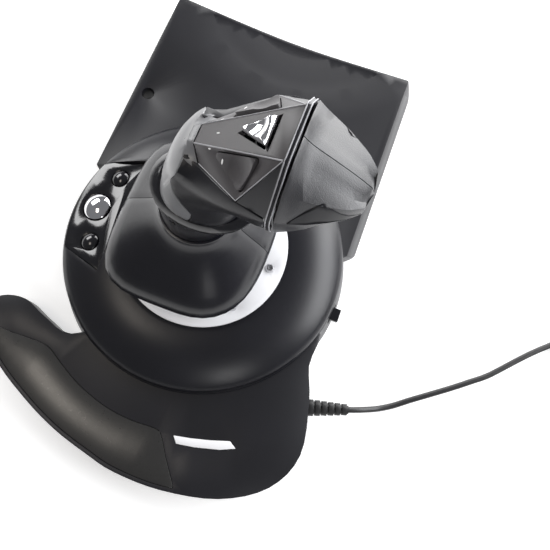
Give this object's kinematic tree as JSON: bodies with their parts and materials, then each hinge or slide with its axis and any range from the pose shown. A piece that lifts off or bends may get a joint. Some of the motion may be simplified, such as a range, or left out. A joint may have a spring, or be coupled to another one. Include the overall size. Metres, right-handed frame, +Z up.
{
  "type": "flight joystick",
  "caption": "Desktop flight joystick: a twisting handle with a hat, thumb buttons and a trigger on a round domed base with two wings, a button console and a cable.",
  "frame": {"origin": "on the desk under the stick's axis, in the middle of the round base", "axes": "+X to the pilot's right, +Y away from the pilot, +Z up along the stick"},
  "size_m": [0.3237, 0.435, 0.2095],
  "materials": {
    "black_satin": "satin black moulded plastic",
    "black_gloss": "gloss black plastic",
    "skirt_black": "semi-gloss black plastic",
    "grey_smooth": "smooth grey plastic",
    "grey_fine": "finely textured dark grey plastic",
    "nose_grey": "finely textured plastic",
    "white": "white plastic",
    "chrome": "chromed",
    "steel": "zinc plated steel",
    "iron": "plain ballast plate",
    "rubber": "black rubber",
    "cord": "black flexible PVC",
    "board": "green circuit board",
    "inner": "natural acetal",
    "sensor": "blue sensor housing"
  },
  "bodies": {
    "base": {"base_shell": "black_satin", "base_dome": "black_satin", "bottom_cover": "black_satin", "console_panel": "black_gloss", "ring_plate": "white", "ring_screws": "steel", "palm_panel": "grey_smooth", "trim_strip": "white", "rubber_feet": "rubber", "ballast_plates": "iron", "bottom_screws": "steel", "main_board": "board", "console_board": "board", "gimbal_housing": "black_satin", "pitch_sensor": "sensor", "mode_switch_body": "black_satin", "strain_relief": "rubber", "cord": "cord", "cord_coil": "cord", "coil_tie": "rubber", "usb_overmould": "rubber", "usb_plug": "steel"},
    "tension": {"tension_wheel": "black_satin"},
    "mode_slider": {"mode_switch_knob": "black_gloss"},
    "guide_key": {"guide_button": "chrome"},
    "console_key_left": {"console_button_left": "black_gloss"},
    "console_key_right": {"console_button_right": "black_gloss"},
    "gimbal": {"gimbal_frame": "inner", "roll_sensor": "sensor"},
    "stick": {"stick_shaft": "steel", "centering_spring": "steel", "spring_plate": "inner", "skirt_left": "skirt_black", "skirt_right": "skirt_black", "skirt_screws": "steel", "twist_sensor": "sensor"},
    "handle": {"twist_core": "inner", "neck_collar": "black_satin", "hand_rest": "black_satin", "grip_left": "black_satin", "grip_right": "black_satin", "palm_shell": "grey_smooth", "head_face": "grey_fine", "head_rim": "grey_smooth", "nose_left": "nose_grey", "nose_right": "nose_grey", "grip_screws": "steel", "grip_board": "board", "hat_socket": "black_satin", "trigger_bracket": "black_satin", "trigger_pin": "steel", "trigger_spring": "steel"},
    "hat_cross": {"hat_pivot": "steel"},
    "hat": {"hat_switch": "chrome"},
    "thumb_key_left": {"thumb_button_left": "grey_fine"},
    "thumb_key_right": {"thumb_button_right": "grey_fine"},
    "trigger_lever": {"trigger": "black_gloss"}
  },
  "joints": [
    {"name": "pitch", "type": "hinge", "parent": "base", "child": "gimbal", "pos_m": [0, 0, 0.028], "axis": [1, 0, 0], "range_deg": [-16, 16], "stiffness_Nm_per_rad": 3},
    {"name": "roll", "type": "hinge", "parent": "gimbal", "child": "stick", "pos_m": [0, 0, 0.028], "axis": [0, 1, 0], "range_deg": [-16, 16], "stiffness_Nm_per_rad": 3},
    {"name": "twist", "type": "hinge", "parent": "stick", "child": "handle", "pos_m": [0, 0, 0.09], "axis": [0, 0, 1], "range_deg": [-18, 18], "stiffness_Nm_per_rad": 0.8},
    {"name": "trigger_pull", "type": "hinge", "parent": "handle", "child": "trigger_lever", "pos_m": [0, 0.0555, 0.1795], "axis": [-1, 0, 0], "range_deg": [0, 8], "stiffness_Nm_per_rad": 0.2},
    {"name": "hat_up_down", "type": "hinge", "parent": "handle", "child": "hat_cross", "pos_m": [0, 0.03351, 0.1974], "axis": [1, 0, 0], "range_deg": [-8, 8], "stiffness_Nm_per_rad": 0.05},
    {"name": "hat_left_right", "type": "hinge", "parent": "hat_cross", "child": "hat", "pos_m": [0, 0.03351, 0.1974], "axis": [0, 0.8068, 0.5909], "range_deg": [-8, 8], "stiffness_Nm_per_rad": 0.05},
    {"name": "thumb_press_left", "type": "slide", "parent": "handle", "child": "thumb_key_left", "axis": [0.4892, 0.5744, -0.6563], "range_m": [0, 0.0012], "stiffness_N_per_m": 800},
    {"name": "thumb_press_right", "type": "slide", "parent": "handle", "child": "thumb_key_right", "axis": [-0.4892, 0.5744, -0.6563], "range_m": [0, 0.0012], "stiffness_N_per_m": 800},
    {"name": "guide_press", "type": "slide", "parent": "base", "child": "guide_key", "axis": [0, 0.2079, -0.9781], "range_m": [0, 0.0012], "stiffness_N_per_m": 800},
    {"name": "console_press_left", "type": "slide", "parent": "base", "child": "console_key_left", "axis": [0, 0.2079, -0.9781], "range_m": [0, 0.0012], "stiffness_N_per_m": 800},
    {"name": "console_press_right", "type": "slide", "parent": "base", "child": "console_key_right", "axis": [0, 0.2079, -0.9781], "range_m": [0, 0.0012], "stiffness_N_per_m": 800},
    {"name": "mode_slide", "type": "slide", "parent": "base", "child": "mode_slider", "axis": [1, 0, 0], "range_m": [-0.002, 0.002]},
    {"name": "tension_turn", "type": "hinge", "parent": "base", "child": "tension", "pos_m": [0, 0.046, 0.01], "axis": [0, 0, 1], "range_deg": [-170, 170]}
  ]
}
